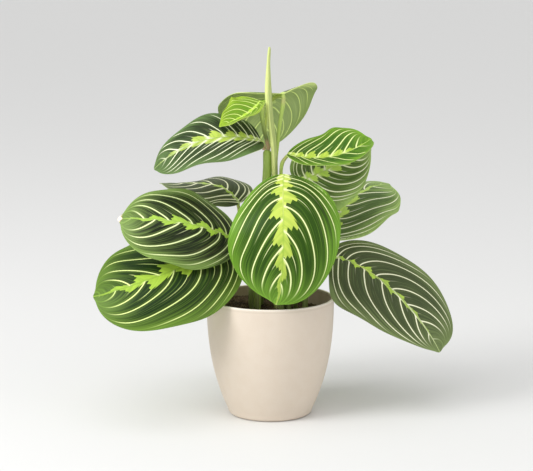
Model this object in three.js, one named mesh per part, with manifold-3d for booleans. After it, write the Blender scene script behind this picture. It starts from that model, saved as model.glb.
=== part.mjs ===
// A potted prayer plant (maranta): a round plain pot filled with soil, two shoots and thirteen
// leaves, each leaf a blade on its own stalk. Millimetres, +Z up, +X to the right and +Y to the
// back, with the origin under the middle of the pot's flat foot.
import * as THREE from "three";
import { mergeVertices } from "three/addons/utils/BufferGeometryUtils.js";
import Module from "manifold-3d";

const wasm = await Module();
wasm.setup();

// Pot
const POT_HEIGHT = 107;
const RIM_RADIUS = 57.5;
const FOOT_LEAN = 21; // how far the wall has drawn in at the foot
const LEAN_POWER = 2.5; // the wall is nearly upright at the rim and leans more and more below
const POT_WALL = 2.4;
const POT_FLOOR = 3.5;
const FOOT_CORNER = 4; // size of the rounding between foot and wall, and of the one inside
const CORNER_STEPS = 3;
const LIP_ROUND = 0.8;
const POT_SIDES = 48;
const WALL_STEPS = 7;

// Soil
const SOIL_LEVEL = 95;
const SOIL_SLOPE = 0.09; // it is heaped to the left
const SOIL_LUMP = 1.1;
const SOIL_RINGS = 4;
const LEVEL_TOLERANCE = 0.01;
const HOLE_BOTTOM = 82;
const HOLE_TOP = 105; // clear above the soil
const HOLE_STEPS = 5; // per quarter turn of a hole

// Fit
const GAP = 0.3;
const SAME_POINT = 1e-4; // points closer than this are one

// Leaves
const BLADE_THICK = 0.8;
const BLADE_ROWS = 14;
const BLADE_COLUMNS = 8;
const BLADE_END = 0.003; // share of its length that a blade stops short of each of its points
const OUTLINE_POWER = 0.95;
const MARGIN_WAVE = 2;
const WAVES = 2;
const RIGHT_PHASE = 0.37; // the right margin's waves run this much ahead of the left's
const WAVE_POWER = 2.5; // the wave grows from nothing at the midrib to its full height at the margin
const LEAST_CURL = 0.01;
const SLOPE_ALONG = 0.002; // how far apart the points are that a blade's slope is worked out from
const SLOPE_ACROSS = 0.02;
const STALK_SIDES = 7;
const STALK_UNDER = 0.62; // share of the blade's length that the stalk runs on beneath it
const STALK_STEPS = 9;
const STALK_NECK = 0.85; // share of its own radius that a stalk has where it reaches the blade
const STALK_END = 0.5; // its radius where it ends under the blade
const STALK_CLEAR = 0.5; // between a stalk and the blade that lies on it
const STALK_UPRIGHT = 5; // a stalk leaves the soil straight up for this far

// Shoots
const SHOOT_STEPS = 3; // between two of its points

const POT_COLOUR = 0xe2d3bd;
const SOIL_COLOUR = 0x2c241e;
const SHEATH_COLOUR = 0x5d8a35;
const ROLLED_COLOUR = 0xa4c95c;
const STALK_COLOUR = 0x8fae52;
const BRIGHT = 0x4f9226;
const MIDDLE = 0x3f7628;
const DARK = 0x35562b;
const POT_ROUGHNESS = 0.6;
const SOIL_ROUGHNESS = 0.95;
const LEAF_ROUGHNESS = 0.5;

// Each leaf: rib holds four points that the midrib passes at even steps from base to tip, and face
// is the way its upper side looks, at the base and at the tip. fold is the angle at which each
// half leaves the midrib and curl the further bend out to the margin, both in degrees, plus for
// up. wide is where each half is widest along the midrib. Halves are listed left, then right, as
// seen from base to tip. foot is where the stalk stands in the soil, and by is its way up.
const LEAVES = [
  {
    name: "leaf_front",
    rib: [[12, -24, 222], [11, -62, 194], [10.8, -72, 156], [5, -60, 114]],
    face: [[-0.05, -1, 0.35], [-0.05, -1, 0.35]],
    width: 105, fold: [-4, -4], curl: [-30, -30], wide: [0.44, 0.62],
    colour: BRIGHT, stalk: 2.1,
    foot: [10, -12], by: [[10, -12.5, 150], [10.5, -14, 205], [11.5, -19, 219]],
  },
  {
    name: "leaf_left",
    rib: [[-29, -12, 161], [-62, -36, 177.7], [-96, -46, 185], [-130, -40, 185]],
    face: [[-0.1, -0.75, 0.65], [-0.3, -0.6, 0.75]],
    width: 80, fold: [-10, 5], curl: [-36, -18], wide: [0.5, 0.5],
    colour: DARK, stalk: 1.8,
    foot: [-12, -13], by: [[-13, -13, 125], [-24, -11.5, 155]],
  },
  {
    name: "leaf_low_left",
    rib: [[-29, -8, 151], [-70, -38, 144], [-110, -54, 132], [-153, -53, 118.5]],
    face: [[-0.1, -0.8, 0.6], [-0.4, -0.7, 0.6]],
    width: 101, fold: [-5, -3], curl: [-25, -15], wide: [0.5, 0.6],
    colour: MIDDLE, stalk: 1.8,
    foot: [-17, -6.5], by: [[-17, -6.5, 118], [-23, -5, 146]],
  },
  {
    name: "leaf_upper_left",
    rib: [[-8, -4, 249], [-35, -18, 254], [-67, -24, 249], [-101, -20, 227]],
    face: [[-0.1, -0.6, 0.8], [-0.1, -0.6, 0.8]],
    width: 62, fold: [12, 9], curl: [-20, -15], wide: [0.5, 0.3],
    colour: DARK, stalk: 1.5,
    start: [-5.6, 2, 240.4], by: [[-5.7, 1.8, 242], [-6.8, -1.4, 245.5]],
  },
  {
    name: "leaf_young",
    rib: [[-9, -8, 285], [-18, -14, 275], [-30, -18, 269], [-43, -20, 264]],
    face: [[-0.1, -0.7, 0.7], [-0.1, -0.7, 0.7]],
    width: 50, fold: [48, 5], curl: [0, -15], wide: [0.45, 0.35],
    colour: BRIGHT, stalk: 2.0,
    start: [-1.7, 3, 240.4],
    by: [[-1.8, 2.8, 242.5], [-4.7, -2, 255], [-7.5, -3.2, 272], [-7.4, -4.2, 282]],
  },
  {
    name: "leaf_top_back",
    rib: [[12, 10, 289.5], [0, 33, 280], [-4, 45, 260], [-3, 46, 237]],
    face: [[-0.15, 0.4, 1], [0, 1, 0.3]],
    width: 95, fold: [1, 25], curl: [-12, -14], wide: [0.4, 0.34],
    colour: MIDDLE, stalk: 1.9,
    foot: [13, 9],
    by: [[11, 7.5, 150], [4.8, 4.3, 225], [6.8, 4.6, 249], [9, 6, 266], [11.5, 7.5, 281]],
  },
  {
    name: "leaf_left_rear",
    rib: [[-28, 24, 188], [-44, 27, 202.5], [-66, 29, 206], [-99, 30, 206]],
    face: [[0.2, -0.5, 0.8], [0, 0.2, 1]],
    width: 82, fold: [-2, -3], curl: [-8, -20], wide: [0.6, 0.31],
    colour: DARK, stalk: 1.7,
    foot: [-18, 11], by: [[-18.5, 12, 125], [-27, 19, 176]],
  },
  {
    name: "leaf_upper_right",
    rib: [[15, -3, 237], [39, -9, 234.5], [63, -11, 238], [88, -6, 250]],
    face: [[-0.05, -0.8, 0.6], [-0.05, -0.8, 0.6]],
    width: 60, fold: [-1, 50], curl: [-15, -10], wide: [0.62, 0.6],
    colour: BRIGHT, stalk: 1.7,
    foot: [17, 2], by: [[14, -1, 170], [9.6, -4.5, 214], [10.6, -3.8, 229]],
  },
  {
    name: "leaf_right",
    rib: [[25, 0, 210], [43, 8, 218], [65, 14, 227], [89, 16, 241]],
    face: [[-0.1, -0.75, 0.65], [-0.1, -0.75, 0.65]],
    width: 78, fold: [-5, -5], curl: [-20, -20], wide: [0.5, 0.3],
    colour: DARK, stalk: 1.8,
    foot: [23, 9], by: [[23, 8, 150], [22.5, 3.5, 200]],
  },
  {
    name: "leaf_right_rear",
    rib: [[46, 4, 158], [63, 34, 175], [81, 60, 191], [111, 86, 197]],
    face: [[-0.12, -0.35, 0.75], [-0.12, -0.35, 0.75]],
    width: 92, fold: [-8, 0], curl: [-20, -10], wide: [0.5, 0.56],
    colour: DARK, stalk: 1.8,
    foot: [31, 7], by: [[32.5, 6, 125], [42, 3, 150]],
  },
  {
    name: "leaf_low_right",
    rib: [[52, 0, 144], [82, -4, 135], [119, -8, 106], [152, -12, 60]],
    face: [[0.2, -0.8, 0.5], [0.2, -0.8, 0.5]],
    width: 83, fold: [-5, -5], curl: [-20, -20], wide: [0.6, 0.3],
    colour: DARK, stalk: 1.9,
    foot: [32, -5], by: [[33, -4, 115], [41, 0, 139]],
  },
  {
    name: "leaf_back_left",
    rib: [[-12, 28, 138], [-32, 66, 142], [-50, 98, 124], [-58, 122, 90]],
    face: [[-0.2, 0.6, 0.8], [-0.2, 0.6, 0.8]],
    width: 80, fold: [5, 5], curl: [-20, -20], wide: [0.5, 0.5],
    colour: DARK, stalk: 1.7,
    foot: [-8, 17], by: [[-8, 17, 115], [-10, 21, 130]],
  },
  {
    name: "leaf_back",
    rib: [[8, 24, 148], [16, 64, 160], [22, 98, 146], [26, 122, 112]],
    face: [[0.1, 0.6, 0.8], [0.1, 0.6, 0.8]],
    width: 78, fold: [5, 5], curl: [-20, -20], wide: [0.5, 0.5],
    colour: MIDDLE, stalk: 1.7,
    foot: [6, 17], by: [[6, 17, 118], [7, 19, 138]],
  },
];

// Each shoot: points up its middle with the radius there.
const SHOOTS = [
  {
    name: "shoot_main",
    colour: SHEATH_COLOUR,
    sides: 10,
    line: [
      [-13, 2, HOLE_BOTTOM + GAP], [-13, 2, 104], [-8, 1, 160], [-3, 3, 214], [-2.9, 3, 240],
    ],
    radii: [5.4, 5.4, 4.8, 4.4, 4.3],
  },
  {
    name: "shoot_rolled_leaf",
    colour: ROLLED_COLOUR,
    sides: 10,
    line: [
      [6, 2, HOLE_BOTTOM + GAP], [6, 2, 104], [6, 1, 150], [4.5, -1, 205], [3.3, -2, 240],
      [-0.3, -2, 270], [-2, -2, 292], [-1.8, -2, 317], [-0.8, -2, 332],
    ],
    radii: [3.2, 3.2, 3.1, 2.9, 2.95, 3.4, 3.6, 1.7, 0.9],
  },
];

const toVector = ([x, y, z]) => new THREE.Vector3(x, y, z);
const toRadians = THREE.MathUtils.degToRad;

// The point at t on the cubic that passes four points at t = 0, 1/3, 2/3 and 1.
function cubicThrough(points, t) {
  const out = new THREE.Vector3();
  points.forEach((point, i) => {
    let weight = 1;
    for (let j = 0; j < 4; j++) {
      if (j !== i) weight *= (t * 3 - j) / (i - j);
    }
    out.addScaledVector(point, weight);
  });
  return out;
}

// A midrib measured by its length, so that s runs evenly from base (0) to tip (1).
class Midrib extends THREE.Curve {
  constructor(points) {
    super();
    this.points = points.map(toVector);
  }
  getPoint(t) {
    return cubicThrough(this.points, t);
  }
}

// The leaf's own directions at s: along the midrib, out to its left, and up from its upper side.
function leafFrame(leaf, s) {
  const along = leaf.curve.getTangentAt(s);
  const face = toVector(leaf.face[0]).lerp(toVector(leaf.face[1]), s);
  const left = face.cross(along).normalize();
  const up = along.clone().cross(left);
  return { middle: leaf.curve.getPointAt(s), left, up };
}

// Half the blade's width at s, where it is widest at the share wide of its length.
function halfWidth(leaf, s, wide) {
  const a = OUTLINE_POWER * wide;
  const b = OUTLINE_POWER - a;
  const peak = wide ** a * (1 - wide) ** b;
  return (leaf.width / 2) * (s ** a * (1 - s) ** b) / peak;
}

// A point in the middle of the blade's thickness. v runs from -1, the right margin, to 1, the left.
function bladePoint(leaf, s, v) {
  const half = v < 0 ? 1 : 0;
  const reach = leaf.width / 2;
  const width = halfWidth(leaf, s, leaf.wide[half]);
  const fold = toRadians(leaf.fold[half]);
  const bend = toRadians(leaf.curl[half] || LEAST_CURL) / reach;
  const slope = fold + bend * Math.abs(v) * width;
  const sideways = (Math.sin(slope) - Math.sin(fold)) / bend;
  const wave = MARGIN_WAVE * (width / reach) * Math.abs(v) ** WAVE_POWER;
  const phase = WAVES * s + half * RIGHT_PHASE;
  const rise = (Math.cos(fold) - Math.cos(slope)) / bend + wave * Math.sin(2 * Math.PI * phase);
  const { middle, left, up } = leafFrame(leaf, s);
  return middle.addScaledVector(left, v < 0 ? -sideways : sideways).addScaledVector(up, rise);
}

// The way the blade's upper side looks at that point.
function bladeNormal(leaf, s, v) {
  const s0 = Math.max(s - SLOPE_ALONG, BLADE_END / 2);
  const s1 = Math.min(s + SLOPE_ALONG, 1 - BLADE_END / 2);
  const v0 = Math.max(v - SLOPE_ACROSS, -1);
  const v1 = Math.min(v + SLOPE_ACROSS, 1);
  const along = bladePoint(leaf, s1, v).sub(bladePoint(leaf, s0, v));
  const across = bladePoint(leaf, s, v1).sub(bladePoint(leaf, s, v0));
  return along.cross(across).normalize();
}

// The blade as a thin closed sheet, with both faces split into the same triangles.
function bladeGeometry(leaf) {
  const position = [];
  const index = [];
  const columns = BLADE_COLUMNS + 1;
  const face = (BLADE_ROWS + 1) * columns;
  for (const lift of [BLADE_THICK / 2, -BLADE_THICK / 2]) {
    for (let i = 0; i <= BLADE_ROWS; i++) {
      const even = (1 - Math.cos((Math.PI * i) / BLADE_ROWS)) / 2;
      const s = BLADE_END + (1 - 2 * BLADE_END) * even;
      for (let j = 0; j < columns; j++) {
        const v = (2 * j) / BLADE_COLUMNS - 1;
        const point = bladePoint(leaf, s, v).addScaledVector(bladeNormal(leaf, s, v), lift);
        position.push(point.x, point.y, point.z);
      }
    }
  }
  const at = (row, column, under) => row * columns + column + (under ? face : 0);
  const quad = (a, b, c, d) => index.push(a, b, c, a, c, d);
  for (let i = 0; i < BLADE_ROWS; i++) {
    for (let j = 0; j < BLADE_COLUMNS; j++) {
      const [a, b, c, d] = [at(i, j), at(i + 1, j), at(i + 1, j + 1), at(i, j + 1)];
      quad(a, b, c, d);
      index.push(a + face, c + face, b + face, a + face, d + face, c + face);
    }
    quad(at(i, 0), at(i, 0, true), at(i + 1, 0, true), at(i + 1, 0));
    const end = BLADE_COLUMNS;
    quad(at(i, end), at(i + 1, end), at(i + 1, end, true), at(i, end, true));
  }
  for (let j = 0; j < BLADE_COLUMNS; j++) {
    const tip = BLADE_ROWS;
    quad(at(0, j), at(0, j + 1), at(0, j + 1, true), at(0, j, true));
    quad(at(tip, j), at(tip, j, true), at(tip, j + 1, true), at(tip, j + 1));
  }
  return indexed(position, index);
}

function indexed(position, index) {
  const geometry = new THREE.BufferGeometry();
  geometry.setAttribute("position", new THREE.Float32BufferAttribute(position, 3));
  geometry.setIndex(index);
  return geometry;
}

// A round rod of changing radius through the given points, closed at both ends.
function rodGeometry(points, radii, sides) {
  const position = [];
  const index = [];
  let across = new THREE.Vector3(1, 0, 0);
  points.forEach((point, i) => {
    const before = points[Math.max(i - 1, 0)];
    const after = points[Math.min(i + 1, points.length - 1)];
    const along = after.clone().sub(before).normalize();
    across = across.clone().addScaledVector(along, -across.dot(along)).normalize();
    const beside = along.clone().cross(across);
    for (let k = 0; k < sides; k++) {
      const angle = (2 * Math.PI * k) / sides;
      const corner = point.clone();
      corner.addScaledVector(across, radii[i] * Math.cos(angle));
      corner.addScaledVector(beside, radii[i] * Math.sin(angle));
      position.push(corner.x, corner.y, corner.z);
    }
  });
  const last = points.length - 1;
  for (let i = 0; i < last; i++) {
    for (let k = 0; k < sides; k++) {
      const next = (k + 1) % sides;
      const [a, b] = [i * sides + k, i * sides + next];
      index.push(a, b, b + sides, a, b + sides, a + sides);
    }
  }
  for (let k = 1; k < sides - 1; k++) {
    index.push(0, k + 1, k);
    index.push(last * sides, last * sides + k, last * sides + k + 1);
  }
  return indexed(position, index);
}

// The stalk climbs from the soil, or from the top of the main shoot, to the base of the blade and
// runs on beneath it as the raised midrib, thinning towards the tip.
function stalkGeometry(leaf) {
  const upright = [HOLE_BOTTOM + GAP, SOIL_LEVEL + STALK_UPRIGHT];
  const start = leaf.foot ? upright.map((z) => [...leaf.foot, z]) : [leaf.start];
  const climb = [...start, ...leaf.by].map(toVector);
  climb.push(beneath(leaf, 0, leaf.stalk));
  const way = new THREE.CatmullRomCurve3(climb, false, "centripetal");
  const line = way.getPoints(2 * climb.length - 1).slice(0, -1);
  const radii = line.map(() => leaf.stalk);
  for (let i = 0; i <= STALK_STEPS; i++) {
    const share = i / STALK_STEPS;
    const radius = THREE.MathUtils.lerp(leaf.stalk * STALK_NECK, STALK_END, share);
    line.push(beneath(leaf, share * STALK_UNDER, radius));
    radii.push(radius);
  }
  return rodGeometry(line, radii, STALK_SIDES);
}

// The middle of a rod of the given radius that runs just clear of the blade's underside.
function beneath(leaf, s, radius) {
  const { middle, up } = leafFrame(leaf, s);
  return middle.addScaledVector(up, -(BLADE_THICK / 2 + STALK_CLEAR + radius));
}

// A shoot: leaf sheaths wrapped round each other, or one leaf still rolled up to a point.
function shootGeometry(shoot) {
  const spans = shoot.line.length - 1;
  const way = new THREE.CatmullRomCurve3(shoot.line.map(toVector), false, "centripetal");
  const points = way.getPoints(spans * SHOOT_STEPS);
  const radii = points.map((_, i) => {
    const from = Math.min(Math.floor(i / SHOOT_STEPS), spans - 1);
    return THREE.MathUtils.lerp(shoot.radii[from], shoot.radii[from + 1], i / SHOOT_STEPS - from);
  });
  return rodGeometry(points, radii, shoot.sides);
}

// The pot's outer radius at height z.
function potRadius(z) {
  return RIM_RADIUS - FOOT_LEAN * ((POT_HEIGHT - z) / POT_HEIGHT) ** LEAN_POWER;
}

// Points of the pot's profile between two heights, the inset in from its outer wall.
function wallPoints(from, to, inset) {
  return Array.from({ length: WALL_STEPS + 1 }, (_, i) => {
    const z = THREE.MathUtils.lerp(from, to, i / WALL_STEPS);
    return new THREE.Vector2(potRadius(z) - inset, z);
  });
}

// Turns a profile of radius and height round the Z axis.
function turned(profile, sides) {
  return new THREE.LatheGeometry(profile, sides).rotateX(Math.PI / 2);
}

// The pot: outer wall up from the foot, over the rounded lip and down inside to the floor.
function potGeometry() {
  const top = POT_HEIGHT - LIP_ROUND;
  const corner = potRadius(FOOT_CORNER) - FOOT_CORNER;
  const profile = [new THREE.Vector2(0, 0)];
  for (let i = 0; i < CORNER_STEPS; i++) {
    const angle = (Math.PI / 2) * (i / CORNER_STEPS);
    const [across, up] = [Math.sin(angle), 1 - Math.cos(angle)];
    profile.push(new THREE.Vector2(corner + FOOT_CORNER * across, FOOT_CORNER * up));
  }
  profile.push(...wallPoints(FOOT_CORNER, top, 0));
  profile.push(new THREE.Vector2(RIM_RADIUS - LIP_ROUND, POT_HEIGHT));
  profile.push(new THREE.Vector2(RIM_RADIUS - POT_WALL + LIP_ROUND, POT_HEIGHT));
  profile.push(...wallPoints(top, POT_FLOOR + FOOT_CORNER, POT_WALL));
  profile.push(new THREE.Vector2(potRadius(POT_FLOOR) - POT_WALL - FOOT_CORNER, POT_FLOOR));
  profile.push(new THREE.Vector2(0, POT_FLOOR));
  return turned(profile, POT_SIDES);
}

// The soil's uneven surface: a slope with two sets of waves that cross each other.
function soilHeight(x, y) {
  const broad = Math.sin(x / 5 + Math.sin(y / 7)) * Math.cos(y / 6);
  const lumps = broad + 0.5 * Math.sin((x + 2 * y) / 4);
  return SOIL_LEVEL - SOIL_SLOPE * x + SOIL_LUMP * lumps;
}

// The soil fills the pot, and its rings of points lie on the uneven surface.
function soilGeometry() {
  const inset = POT_WALL + GAP;
  const floor = POT_FLOOR + GAP;
  const edge = potRadius(SOIL_LEVEL) - inset;
  const profile = [new THREE.Vector2(0, floor)];
  profile.push(new THREE.Vector2(potRadius(floor) - inset - FOOT_CORNER, floor));
  profile.push(...wallPoints(floor + FOOT_CORNER, SOIL_LEVEL, inset));
  for (let i = 1; i <= SOIL_RINGS; i++) {
    profile.push(new THREE.Vector2(edge * (1 - i / SOIL_RINGS), SOIL_LEVEL));
  }
  const body = turned(profile, POT_SIDES);
  const place = body.getAttribute("position");
  for (let i = 0; i < place.count; i++) {
    if (place.getZ(i) > SOIL_LEVEL - LEVEL_TOLERANCE) {
      place.setZ(i, soilHeight(place.getX(i), place.getY(i)));
    }
  }
  const feet = LEAVES.filter((leaf) => leaf.foot).map((leaf) => [...leaf.foot, leaf.stalk]);
  SHOOTS.forEach((shoot) => {
    const [x, y] = shoot.line[0];
    feet.push([x, y, shoot.radii[0]]);
  });
  const holes = feet.map(([x, y, radius]) => holeSolid(x, y, radius + GAP));
  return holes.reduce((soil, hole) => soil.subtract(hole), solidOf(body));
}

// A plain round hole for a stalk, open at the top.
function holeSolid(x, y, radius) {
  const outline = new THREE.Shape().absarc(0, 0, radius, 0, 2 * Math.PI);
  const drill = new THREE.ExtrudeGeometry(outline, {
    depth: HOLE_TOP - HOLE_BOTTOM, bevelEnabled: false, curveSegments: HOLE_STEPS,
  });
  return solidOf(drill.translate(x, y, HOLE_BOTTOM));
}

function solidOf(geometry) {
  const plain = geometry.clone();
  plain.deleteAttribute("normal");
  plain.deleteAttribute("uv");
  const merged = mergeVertices(plain, SAME_POINT);
  return new wasm.Manifold(new wasm.Mesh({
    numProp: 3,
    vertProperties: merged.attributes.position.array,
    triVerts: new Uint32Array(merged.index.array),
  }));
}

function geometryOf(solid) {
  const { vertProperties, triVerts } = solid.getMesh();
  return indexed(vertProperties, Array.from(triVerts));
}

function named(name, geometry, color, roughness) {
  geometry.computeVertexNormals();
  const mesh = new THREE.Mesh(geometry, new THREE.MeshStandardMaterial({ color, roughness, metalness: 0 }));
  mesh.name = name;
  return mesh;
}

function leafMeshes(leaf) {
  leaf.curve = new Midrib(leaf.rib);
  const blade = named(leaf.name + "_blade", bladeGeometry(leaf), leaf.colour, LEAF_ROUGHNESS);
  const stalk = named(leaf.name + "_stalk", stalkGeometry(leaf), STALK_COLOUR, LEAF_ROUGHNESS);
  return [blade, stalk];
}

const plant = new THREE.Group();
plant.add(named("pot", potGeometry(), POT_COLOUR, POT_ROUGHNESS));
plant.add(named("soil", geometryOf(soilGeometry()), SOIL_COLOUR, SOIL_ROUGHNESS));
SHOOTS.forEach((shoot) => {
  plant.add(named(shoot.name, shootGeometry(shoot), shoot.colour, LEAF_ROUGHNESS));
});
LEAVES.forEach((leaf) => plant.add(...leafMeshes(leaf)));

export default plant;
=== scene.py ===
import math

import bpy
import numpy as np
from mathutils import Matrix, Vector, noise


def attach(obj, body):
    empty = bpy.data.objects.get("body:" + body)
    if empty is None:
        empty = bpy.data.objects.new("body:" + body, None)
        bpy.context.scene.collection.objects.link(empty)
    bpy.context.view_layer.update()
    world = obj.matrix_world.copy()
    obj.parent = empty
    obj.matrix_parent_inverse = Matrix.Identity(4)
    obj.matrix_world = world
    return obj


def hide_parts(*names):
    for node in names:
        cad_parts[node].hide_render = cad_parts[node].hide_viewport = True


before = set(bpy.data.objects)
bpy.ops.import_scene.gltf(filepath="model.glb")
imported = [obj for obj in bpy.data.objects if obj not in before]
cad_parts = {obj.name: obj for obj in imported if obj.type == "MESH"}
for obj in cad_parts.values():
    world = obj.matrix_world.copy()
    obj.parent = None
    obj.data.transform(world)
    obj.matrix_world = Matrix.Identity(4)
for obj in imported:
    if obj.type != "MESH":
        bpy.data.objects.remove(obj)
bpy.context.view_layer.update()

bl_info = {
    "name": "Potted prayer plant",
    "version": (1, 0, 0),
    "blender": (4, 5, 0),
    "location": "3D View > Sidebar > Plant",
    "description": "Dresses a potted prayer plant: its pot, soil, shoots, stalks and leaf blades",
    "category": "Object",
}

MM = 0.001
TURN = 2 * math.pi

# Forms that the pieces share with the plain solids, in millimetres and as shares of a blade.
BLADE_END = 0.0005
OUTLINE_POWER = 0.95
MARGIN_WAVE = 2
WAVE_POWER = 2.5
WAVES = 2
RIGHT_PHASE = 0.37
LEAST_CURL = 0.01
HOLE_BOTTOM = 82.3
SOIL_TOP = 95
SOIL_GAP = 0.15
STALK_UPRIGHT = 5
SHOOT_TOP = 240
RIB_END = 0.94
FOOT_SWELL, FOOT_LENGTH = 0.22, 45
JOINT_SWELL, JOINT_LENGTH = 0.16, 9
WRAP_START, WRAP_END = SHOOT_TOP + 7, SHOOT_TOP + 12
POT_CORNER = 4
POT_LIP = 0.9
LEAN_POWER = 2.5

# Each leaf. rib: four points of the midrib from base to tip; face: which way its upper side looks
# at base and tip; width across; then the fold at the midrib and the curl out to the margin in
# degrees, and where the blade is widest. foot is where the stalk stands in the soil, or start where
# it leaves the main shoot, and by is its way up. tone picks the greens, veins is how many side veins
# start along the midrib, crowd how many more gather at its base, sweep how strongly they bend
# towards the tip, run their course, and shift moves them along. feather is the half width of the
# lime stripe, taper where it starts to narrow, spike how pointed its lobes are, dry the withered
# tip, and line the width of a vein against the usual one. A pair is for the left and the right
# half, or for base and tip in face; a single value holds for both.
LEAVES = {
    "front": dict(
        rib=((12, -24, 222), (11, -62, 194), (10.8, -72, 156), (5, -60, 114)), face=(-0.05, -1, 0.35),
        width=105, fold=-4, curl=-30, wide=(0.44, 0.62), stalk=2.1, foot=(10, -12),
        by=((10, -12.5, 150), (10.5, -14, 205), (11.5, -19, 219)), tone="bright", veins=5.6, sweep=1.15,
        shift=(-0.42, 0), feather=13, line=0.85, spike=1.3, taper=0.46),
    "left": dict(
        rib=((-29, -12, 161), (-62, -36, 177.7), (-96, -46, 185), (-130, -40, 185)),
        face=((-0.1, -0.75, 0.65), (-0.3, -0.6, 0.75)), width=80, fold=(-10, 5), curl=(-36, -18), wide=0.5,
        stalk=1.8, foot=(-12, -13), by=((-13, -13, 125), (-24, -11.5, 155)), tone="dark", veins=5.3, crowd=1.6,
        shift=(0, -0.45), feather=7, dry=1, spike=1.7, taper=0.5),
    "low_left": dict(
        rib=((-29, -8, 151), (-70, -38, 144), (-110, -54, 132), (-153, -53, 118.5)),
        face=((-0.1, -0.8, 0.6), (-0.4, -0.7, 0.6)), width=101, fold=(-5, -3), curl=(-25, -15), wide=(0.5, 0.6),
        stalk=1.8, foot=(-17, -6.5), by=((-17, -6.5, 118), (-23, -5, 146)), tone="middle", veins=5.2, crowd=2,
        sweep=0.8, feather=12, line=0.74, spike=1.6, taper=0.55),
    "upper_left": dict(
        rib=((-8, -4, 249), (-35, -18, 254), (-67, -24, 249), (-101, -20, 227)), face=(-0.1, -0.6, 0.8),
        width=62, fold=(12, 9), curl=(-20, -15), wide=(0.5, 0.3), stalk=1.5, start=(-5.6, 2, 240.4),
        by=((-5.7, 1.8, 242), (-6.8, -1.4, 245.5)), tone="dusty", veins=(8, 7.5), crowd=1.8, sweep=(0.9, 0.7),
        run=("straight", "hooked"), shift=(-0.3, 0.1), feather=8, line=0.7, spike=0.8),
    "young": dict(
        rib=((-9, -8, 285), (-18, -14, 275), (-30, -18, 269), (-43, -20, 264)), face=(-0.1, -0.7, 0.7),
        width=50, fold=(48, 5), curl=(0, -15), wide=(0.45, 0.35), stalk=2, start=(-1.7, 3, 240.4),
        by=((-1.8, 2.8, 242.5), (-4.7, -2, 255), (-7.5, -3.2, 272), (-7.4, -4.2, 282)), tone="new", veins=6.5,
        crowd=1.5, shift=(0, -0.4), feather=2.5, line=0.45, spike=1),
    "top_back": dict(
        rib=((12, 10, 289.5), (0, 33, 280), (-4, 45, 260), (-3, 46, 237)), face=((-0.15, 0.4, 1), (0, 1, 0.3)),
        width=95, fold=(1, 25), curl=(-12, -14), wide=(0.4, 0.34), stalk=1.9, foot=(13, 9),
        by=((11, 7.5, 150), (4.8, 4.3, 225), (6.8, 4.6, 249), (9, 6, 266), (11.5, 7.5, 281)), tone="middle",
        veins=(5.5, 6.5), crowd=2, sweep=0.8, feather=8, spike=1),
    "left_rear": dict(
        rib=((-28, 24, 188), (-44, 27, 202.5), (-66, 29, 206), (-99, 30, 206)),
        face=((0.2, -0.5, 0.8), (0, 0.2, 1)), width=82, fold=(-2, -3), curl=(-8, -20), wide=(0.6, 0.31),
        stalk=1.7, foot=(-18, 11), by=((-18.5, 12, 125), (-27, 19, 176)), tone="shade", veins=(6, 5), crowd=2,
        sweep=(0.9, 0.7), run=("straight", "curved"), feather=3.5, line=0.95, spike=2),
    "upper_right": dict(
        rib=((15, -3, 237), (39, -9, 234.5), (63, -11, 238), (88, -6, 250)), face=(-0.05, -0.8, 0.6), width=60,
        fold=(-1, 50), curl=(-15, -10), wide=(0.62, 0.6), stalk=1.7, foot=(17, 2),
        by=((14, -1, 170), (9.6, -4.5, 214), (10.6, -3.8, 229)), tone="fresh", veins=(6.5, 5.5), crowd=1.2,
        run=("curved", "slanted"), shift=(0, -0.4), feather=7, line=0.75),
    "right": dict(
        rib=((25, 0, 210), (43, 8, 218), (65, 14, 227), (89, 16, 241)), face=(-0.1, -0.75, 0.65), width=78,
        fold=-5, wide=(0.5, 0.3), stalk=1.8, foot=(23, 9), by=((23, 8, 150), (22.5, 3.5, 200)), tone="olive",
        veins=(5.5, 6), crowd=2.4, sweep=(0.7, 0.5), run=("curved", "swept"), shift=(0, -0.4), feather=9,
        line=0.85),
    "right_rear": dict(
        rib=((46, 4, 158), (63, 34, 175), (81, 60, 191), (111, 86, 197)), face=(-0.12, -0.35, 0.75), width=92,
        fold=(-8, 0), curl=(-20, -10), wide=(0.5, 0.56), stalk=1.8, foot=(31, 7),
        by=((32.5, 6, 125), (42, 3, 150)), tone="olive", crowd=2.4, feather=9, line=0.85, spike=1.3),
    "low_right": dict(
        rib=((52, 0, 144), (82, -4, 135), (119, -8, 106), (152, -12, 60)), face=(0.2, -0.8, 0.5), width=83,
        fold=-5, wide=(0.6, 0.3), stalk=1.9, foot=(32, -5), by=((33, -4, 115), (41, 0, 139)), tone="shade",
        veins=(7, 6.5), shift=(-0.1, -0.3), feather=4.6, line=0.7, spike=2.8),
    "back_left": dict(
        rib=((-12, 28, 138), (-32, 66, 142), (-50, 98, 124), (-58, 122, 90)), face=(-0.2, 0.6, 0.8), width=80,
        fold=5, wide=0.5, stalk=1.7, foot=(-8, 17), by=((-8, 17, 115), (-10, 21, 130)), tone="olive",
        feather=8),
    "back": dict(
        rib=((8, 24, 148), (16, 64, 160), (22, 98, 146), (26, 122, 112)), face=(0.1, 0.6, 0.8), width=78,
        fold=5, wide=0.5, stalk=1.7, foot=(6, 17), by=((6, 17, 118), (7, 19, 138)), tone="middle",
        shift=(-0.4, 0), feather=10, spike=1.4),
}
# What holds for a leaf that says nothing else.
USUAL = dict(curl=-20, veins=5.5, crowd=2.2, sweep=0.7, run="curved", shift=(0, -0.5), dry=0, line=0.8,
             spike=1.2, taper=0.4)

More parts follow.
